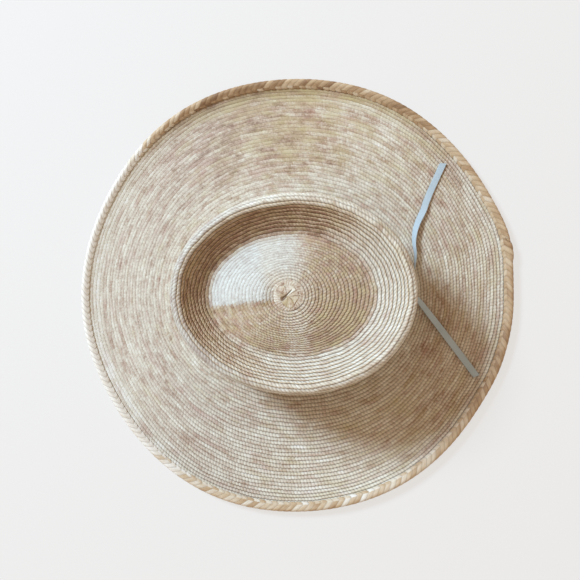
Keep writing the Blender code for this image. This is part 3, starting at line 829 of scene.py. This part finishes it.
def crown_button():
    """The start of the plait: folded straws inside a round of beads."""
    rings, around = 36, BUTTON_BEADS * 6
    radius = BUTTON_RADIUS * (np.arange(1, rings + 1) / rings)[:, None]
    angle = (math.tau * np.arange(around) / around)[None, :]
    waves = sum(depth * np.sin(count * angle + phase) for count, depth, phase in HEART_WAVES)
    border = HEART * (1.0 + waves)
    share = radius / border
    x, y = radius * np.cos(angle), radius * np.sin(angle)
    lips, steps, shades, gold = np.array(FOLDS).T
    lips = np.radians(lips)
    swirl = (angle + 0.2 * share + 0.1 * np.sin(5 * angle + 4 * share)) % math.tau
    fold = np.searchsorted(lips, swirl, side="right") - 1
    width = np.diff(np.append(lips, lips[0] + math.tau))
    petal = (swirl - lips[fold]) % math.tau / width[fold]
    start, end = np.array(CRACK)
    length = np.linalg.norm(end - start)
    way = (end - start) / length
    on = (x - start[0]) * way[0] + (y - start[1]) * way[1]
    off = (x - start[0]) * way[1] - (y - start[1]) * way[0]
    gap = fade(on, -0.001, 0.002) * (1 - fade(on, length - 0.002, length + 0.001))
    gap *= np.exp(-(off / (0.0017 - 0.0013 * fade(on, 0.0005, 0.6 * length)))**2)
    heart = 1 - fade(share, 0.93, 1.02)
    folded = HEART_RISE * (1 - 0.6 * share**2)
    folded = folded + steps[fold] * MM * (1 - petal) * fade(share, 0, 0.4)
    across = np.clip((radius - border) / (BUTTON_RADIUS - border), 0, 1)
    beads = (angle * BUTTON_BEADS / math.tau + 0.6 * across) % 1.0
    arch = 1 - np.abs(2 * beads - 1.0)**3
    ringed = (0.45 * np.sin(math.pi * across**0.8) - 0.35 * (1 - arch) - 0.2 * across) * MM
    top = heart * folded + (1 - heart) * ringed - 0.0012 * gap
    under = STATIONS[0][2] + 0.0009
    base = (*KNOT_OFFSET, under)
    upper = vectors(x, y, top).reshape(-1, 3) + base
    foot = vectors(x[-1], y[-1], -0.001) * (0.97, 0.97, 1.0) + base
    middles = ((*KNOT_OFFSET, under + HEART_RISE + 0.0003), (*KNOT_OFFSET, under - 0.001))
    points = np.concatenate((upper, foot, middles))
    item = smooth_mesh("crown_button_rosette", points, tube_faces(rings + 1, around, caps=False))
    fan = bmesh.new()
    fan.from_mesh(item.data)
    fan.verts.ensure_lookup_table()
    top_middle, foot_middle = fan.verts[-2], fan.verts[-1]
    for a, b in zip(range(around), (*range(1, around), 0)):
        fan.faces.new((top_middle, fan.verts[a], fan.verts[b]))
        fan.faces.new((foot_middle, fan.verts[rings * around + b], fan.verts[rings * around + a]))
    bmesh.ops.recalc_face_normals(fan, faces=fan.faces)
    fan.to_mesh(item.data)
    fan.free()
    item.data.shade_smooth()
    item.data.set_sharp_from_angle(angle=math.radians(40))
    bead = (angle * BUTTON_BEADS / math.tau + 0.6 * across).astype(int) % BUTTON_BEADS
    bead_tone = 0.32 + 0.3 * random.random(BUTTON_BEADS)
    # Each fold darker towards the foot of the next fold's lip: painted shade.
    tone = np.where(heart > 0.5, shades[fold] - 0.1 - 0.3 * petal, bead_tone[bead])
    # Painted shade in the crack, at the foot of each fold's lip, in the grooves of the ring of beads
    # and where the folds meet it.
    crease_shade = np.where(heart > 0.5, np.clip(1.4 * gap + 0.7 * petal**8, 0, 1), 0.55 * (1 - arch))
    crease_shade = np.maximum(crease_shade, 0.35 * np.exp(-((share - 0.98) / 0.05)**2))
    for name, values in (("tone", tone), ("olive", gold[fold] * (heart > 0.5)), ("depth", crease_shade)):
        add_values(item, name, np.append(values.ravel(), np.full(around + 2, 0.5)))
    add_values(item, "red", np.full(len(points), -0.15))
    add_values(item, "sweep", points * 45.0)
    grain = vectors(2.0 * petal + across, 1.5 * share, fold + beads).reshape(-1, 3)
    add_values(item, "plait", np.concatenate((grain, np.zeros((around + 2, 3)))))
    add_piece(item, palm_finish("start_knot", STRAW_LIGHTS), "palm_braid", "crown_button")


# The bands round the crown.

def band(name, low, high, lift, thickness, columns, rows):
    """A band round the side of the crown, between two heights."""
    height = np.linspace(low, high, rows)
    u = np.array([side_at(h) for h in height])
    swell = 1 - np.abs(np.linspace(-1, 1, rows))**6
    outer = lift + thickness / 2 * (0.35 + 0.65 * swell)
    inner = lift - thickness / 2 * (0.35 + 0.65 * swell)
    turn = (math.tau * np.arange(columns + 1) / columns)[:, None]
    lifts = np.append(outer, inner[::-1])
    points = hat_point(*np.broadcast_arrays(np.append(u, u[::-1]), turn, lifts))[:-1]
    around = 2 * rows
    faces = tube_faces(columns + 1, around, caps=False) % (columns * around)
    item = smooth_mesh(name, points.reshape(-1, 3), faces)
    up = np.append(height, height[::-1]) / MM
    back = np.repeat((0.0, 1.0), rows)
    add_values(item, "plait", vectors(turn[:-1] / math.tau, up, back))
    return item


def woven_finish(name, pale, dark, ribs, weave_scale=1.0):
    """A woven band: ribs, a fine weave and faded patches."""
    mat = Finish(name, 0.75)
    place = mat.vector("plait")
    along, across = (mat.add("SeparateXYZ", {"Vector": place}, axis) for axis in "XY")
    rib = mat.line(mat.math("SINE", mat.times(along, ribs)), 0.5, 0.5)
    weave = mat.math("SINE", mat.times(across, 14.0 * weave_scale))
    thread = mat.line(mat.line(weave, 0.5, 0.5), 0.35, rib)
    patch = mat.noise(mat.vector("position"), 55.0, 4.0, 0.6)
    lint = mat.noise(mat.vector("position"), 900.0, 2.0, 0.6)
    share = mat.line(thread, 0.32, mat.times(patch, 0.6))
    color = mat.ramp(mat.line(lint, 0.25, share), ((0.2, dark), (0.85, pale)))
    bump = mat.bump(thread, 0.00016, 0.8)
    return mat.shade({"Base Color": color, "Normal": bump, "Sheen Weight": 0.25,
                      "Sheen Roughness": 0.5, "Specular IOR Level": 0.25,
                      "Roughness": mat.line(lint, 0.2, 0.65)})


def sweatband_pieces():
    lift = -(STRAW / 2 + GAP + SWEATBAND / 2)
    item = band("sweatband_cloth", SWEATBAND_LOW, SWEATBAND_HIGH, lift, SWEATBAND, 360, 14)
    finish = woven_finish("cotton_band", srgb(226, 216, 196), srgb(178, 162, 138), math.tau * 420)
    add_piece(item, finish, "sweatband", "sweatband")
    stitches = stitch_row("sweatband_stitches", lift - SWEATBAND / 2 - STITCH_RISE)
    add_piece(stitches, thread_finish("cotton_thread", srgb(205, 190, 160)), "sweatband")


STITCH_PITCH, STITCH_LENGTH, STITCH_RADIUS = 0.005, 0.0024, 0.00034
STITCH_RISE, STITCH_INSET = 0.00012, 0.0028  # off the face and in from the lower edge


def stitch_row(name, lift):
    """Stitches round the sweatband: short capsules, thinner at both ends."""
    steps, around = 6, 6
    u = side_at(SWEATBAND_LOW + STITCH_INSET)
    turn = np.linspace(0, math.tau, 4000)
    walked = walk(straw_point(u, turn))
    count = int(walked[-1] / STITCH_PITCH)
    share = np.linspace(-0.5, 0.5, steps)
    along = (np.arange(count) * walked[-1] / count)[:, None] + share * STITCH_LENGTH
    places = np.interp(along % walked[-1], walked, turn)
    angle = math.tau * np.arange(around) / around
    normal = straw_normal(u, places)
    tangent = unit(straw_point(u, places + 0.001) - straw_point(u, places - 0.001))
    side = np.cross(normal, tangent)
    width = STITCH_RADIUS * (0.35 + 0.65 * (1 - (2 * share)**4))
    ring = normal[..., None, :] * np.sin(angle)[:, None] + side[..., None, :] * np.cos(angle)[:, None]
    points = hat_point(u, places, lift)[..., None, :] + ring * width[:, None, None]
    one = tube_faces(steps, around)
    faces = np.concatenate([one + k * steps * around for k in range(count)])
    return smooth_mesh(name, points.reshape(-1, 3), faces, 60.0)


def thread_finish(name, color):
    mat = Finish(name, 0.7)
    twist = mat.noise(mat.vector("position"), 2600.0)
    shade = mat.mix(twist, color, tuple(0.6 * value for value in color[:3]) + (1.0,))
    return mat.shade({"Base Color": shade, "Normal": mat.bump(twist, 0.0001)})


# The ribbon.

RIBBON = 0.0009
UP = np.array((0.0, 0.0, 1.0))
RIBBON_PALE = srgb(197, 214, 223)
RIBBON_DARK = srgb(159, 174, 182)


def smooth_route(points, steps):
    """A Catmull-Rom curve through given points."""
    ends = np.array([points[0], *points, points[-1]])
    f = (np.arange(steps) / steps)[:, None]
    route = [0.5 * (2 * q + (r - p) * f + (2 * p - 5 * q + 4 * r - s) * f**2
                    + (3 * q - p - 3 * r + s) * f**3)
             for p, q, r, s in zip(ends, ends[1:], ends[2:], ends[3:])]
    return np.concatenate((*route, ends[-1:]))


def swept(line, section, across, out):
    """A section drawn along a line, with across and out as its axes."""
    return line[:, None, :] + across * section[:, :1] + out[:, None, :] * section[:, 1:]


def ribbon_strip(name, line, across, width, thickness, cut):
    """A ribbon along a line of points: across is the way its width points at each."""
    share = np.array(((-0.5, 0.0), (-0.47, 0.42), (-0.25, 0.5), (0.25, 0.5), (0.47, 0.42),
                      (0.5, 0.0), (0.47, -0.42), (0.25, -0.5), (-0.25, -0.5), (-0.47, -0.42)))
    along = unit(np.gradient(line, axis=0))
    across = unit(across - along * np.sum(across * along, axis=1, keepdims=True))
    points = swept(line, share, across[:, None, :] * width, np.cross(along, across) * thickness)
    tip = np.linspace(0, 1.0, len(line))**8
    points += along[:, None, :] * (tip[:, None] * share[:, 0] * width * cut)[..., None]
    item = smooth_mesh(name, points.reshape(-1, 3), tube_faces(len(line), len(share)))
    walked = walk(line)
    add_values(item, "plait", vectors(walked[:, None], share[:, 0] * width, 0.0) * 1000)
    return item, float(walked[-1])


def ribbon_tail(side, points, finish, cut):
    """A tail that leaves the knot on edge and comes to lie flat on the brim."""
    route = smooth_route(points, 8)
    heights = np.array([brim_height(x, y) for x, y in route[:, :2]])
    line = np.column_stack((route[:, 0], route[:, 1], heights + STRAW / 2 + route[:, 2]))
    lean = np.radians(route[:, 3])[:, None]
    along = np.gradient(line, axis=0)
    level = unit(vectors(along[:, 1], -along[:, 0], 0.0))
    across = level * np.cos(lean) + UP * np.sin(lean)
    item, length = ribbon_strip(f"ribbon_tail_{side}", line, across, RIBBON_WIDTH, RIBBON, cut)
    add_piece(item, finish, "ribbon", f"hatband_tail_{side}")


def knot_frame():
    """The middle of the knot and the ways along and out of the band there."""
    u = side_at(HATBAND_LOW + RIBBON_WIDTH / 2)
    clear = STRAW / 2 + GAP + RIBBON + 2 * GAP + KNOT_DEPTH / 2
    out = unit(straw_normal(u, KNOT_TURN) * (1, 1, 0))
    return hat_point(u, KNOT_TURN, clear), np.cross(UP, out), out


def hatband_knot(finish):
    """A flat overhand knot: two wraps round a bundled core."""
    middle, along, out = knot_frame()
    angle = np.linspace(0, math.tau, 49)[:-1, None]
    made = []
    for tilt, wide, deep, high in ((0.25, 6.2, 4.3, 7.4), (-0.55, 4.6, 3.4, 6.4)):
        ring = (middle + out * np.cos(angle) * deep / 2 * MM + UP * np.sin(angle) * high / 2 * MM
                + along * (tilt * np.sin(angle) * 3.0) * MM)
        made.append(ribbon_loop(ring, along, wide * MM, RIBBON))
    angle = np.linspace(0, math.tau, 17)[:-1, None]
    share = np.linspace(-1, 1, 17)[:, None, None]
    size = 0.62 + 0.38 * (1 - np.abs(share)**3)
    core = (middle + along * share * 5.6 * MM + out * np.cos(angle) * 1.5 * size * MM
            + UP * np.sin(angle) * (2.4 + 0.4 * np.cos(3 * angle)) * size * MM)
    made.append((core.reshape(-1, 3), tube_faces(17, 16)))
    points = np.concatenate([shape for shape, _ in made])
    starts = np.cumsum([0] + [len(shape) for shape, _ in made])
    faces = np.concatenate([quads + start for (_, quads), start in zip(made, starts)])
    item = smooth_mesh("hatband_knot_folds", points, faces)
    add_values(item, "plait", points * 1000)
    add_piece(item, finish, "ribbon", "hatband_knot")


def ribbon_loop(ring, along, width, thickness):
    """A closed ring of ribbon whose width points along the band."""
    sides = np.array(((-0.5, 0.0), (-0.47, 0.45), (-0.2, 0.7), (0.2, 0.7), (0.47, 0.45),
                      (0.5, 0.0), (0.45, -0.45), (0.2, -0.4), (-0.2, -0.4), (-0.45, -0.45)))
    out = unit(ring - ring.mean(0))
    points = swept(ring, sides, along * width, out * thickness)
    count, around = len(ring), len(sides)
    faces = tube_faces(count + 1, around, caps=False) % (count * around)
    return points.reshape(-1, 3), faces


def ribbon_pieces():
    finish = woven_finish("ribbon_weave", RIBBON_PALE, RIBBON_DARK, math.tau * 560)
    item = band("hatband_ribbon", HATBAND_LOW, HATBAND_LOW + RIBBON_WIDTH,
                STRAW / 2 + GAP + RIBBON / 2, RIBBON, 480, 7)
    add_piece(item, finish, "ribbon", "hatband")
    loose = woven_finish("ribbon_loose", RIBBON_PALE, RIBBON_DARK, 8.0, 0.55)
    hatband_knot(loose)
    ribbon_tail("right", TAIL_RIGHT, loose, 0.35)
    ribbon_tail("left", TAIL_LEFT, loose, -0.25)


def wire_finish():
    """Galvanised wire: dull grey zinc with spangles."""
    mat = Finish("galvanised", 0.4, Metallic=1.0)
    place = mat.add("TexCoord", {}, "Object")
    spangle = mat.add("TexVoronoi", {"Vector": place, "Scale": 700.0}, "Distance")
    cloud = mat.noise(place, 300.0, 3.0)
    color = mat.ramp(mat.line(spangle, 0.5, cloud), (
        (0.3, srgb(150, 152, 154)), (0.9, srgb(205, 206, 208))))
    zinc = mat.shade({"Base Color": color, "Normal": mat.bump(cloud, 0.00005),
                      "Roughness": mat.line(cloud, 0.3, 0.3)})
    for name in ("brim_wire", "wire_joiner"):
        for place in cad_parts[name].material_slots:
            place.material = zinc


# Camera, light and floor.

def camera():
    """Looks straight down, with the wearer's left at the foot of the picture."""
    place = Vector((0.006, 0.0155, 0.668))
    aim = Vector((-0.0041, -0.0054, 0.0))
    span = 0.5436  # of the floor across the picture
    data = bpy.data.cameras.new("camera")
    data.sensor_width = 36.0
    data.lens = data.sensor_width * (place - aim).length / span
    data.clip_start, data.clip_end = 0.01, 20.0
    item = new_object("camera", data)
    back = (place - aim).normalized()
    right = Vector((-1.0, 0.0, 0.0)).cross(back).normalized()
    up = back.cross(right)
    turned = Matrix((right, up, back)).transposed().to_4x4()
    item.matrix_world = Matrix.Translation(place) @ turned
    bpy.context.scene.camera = item


KEY_WAY = Vector((-LEE_WAY[0], -LEE_WAY[1], 0.90))  # from the hat towards the soft box
KEY_DISTANCE = 2.6
KEY_SIZE = 0.66
KEY_POWER = 3.7


def studio():
    """A cool soft box, and warm light from all round."""
    data = bpy.data.lights.new("key", "AREA")
    data.shape = "DISK"
    data.size = KEY_SIZE
    data.energy = KEY_POWER * math.pi * KEY_DISTANCE**2
    data.color = (0.62, 0.81, 1.0)
    key = new_object("key", data)
    key.location = KEY_WAY.normalized() * KEY_DISTANCE
    key.rotation_euler = KEY_WAY.to_track_quat("Z", "Y").to_euler()
    key.visible_camera = False

    world = bpy.data.worlds.new("studio")
    world.use_nodes = True
    tree = world.node_tree
    warm = tree.nodes["Background"]
    warm.inputs["Color"].default_value = (1.0, 0.78, 0.6, 1.0)
    warm.inputs["Strength"].default_value = 0.56
    pale = tree.nodes.new("ShaderNodeBackground")
    pale.inputs["Color"].default_value = srgb(236, 236, 237)
    seen = tree.nodes.new("ShaderNodeLightPath")
    choice = tree.nodes.new("ShaderNodeMixShader")
    ends = (seen.outputs["Is Camera Ray"], warm.outputs[0], pale.outputs[0])
    for output, socket in zip(ends, choice.inputs):
        tree.links.new(output, socket)
    tree.links.new(choice.outputs[0], tree.nodes["World Output"].inputs["Surface"])
    bpy.context.scene.world = world
    bpy.context.scene.view_settings.view_transform = "Standard"

    bpy.ops.mesh.primitive_plane_add(size=20.0, location=(0.0, 0.0, -0.0004))
    floor = bpy.context.object
    floor.name = "floor"
    mat = Finish("floor", 0.8)
    paint = mat.shade({"Base Color": (0.17, 0.17, 0.17, 1.0),
                      "Emission Color": (1.0, 0.99, 0.975, 1.0), "Emission Strength": 0.66})
    floor.data.materials.append(paint)


camera()
studio()
straw_pieces()
edge_binding()
crown_button()
sweatband_pieces()
ribbon_pieces()
wire_finish()
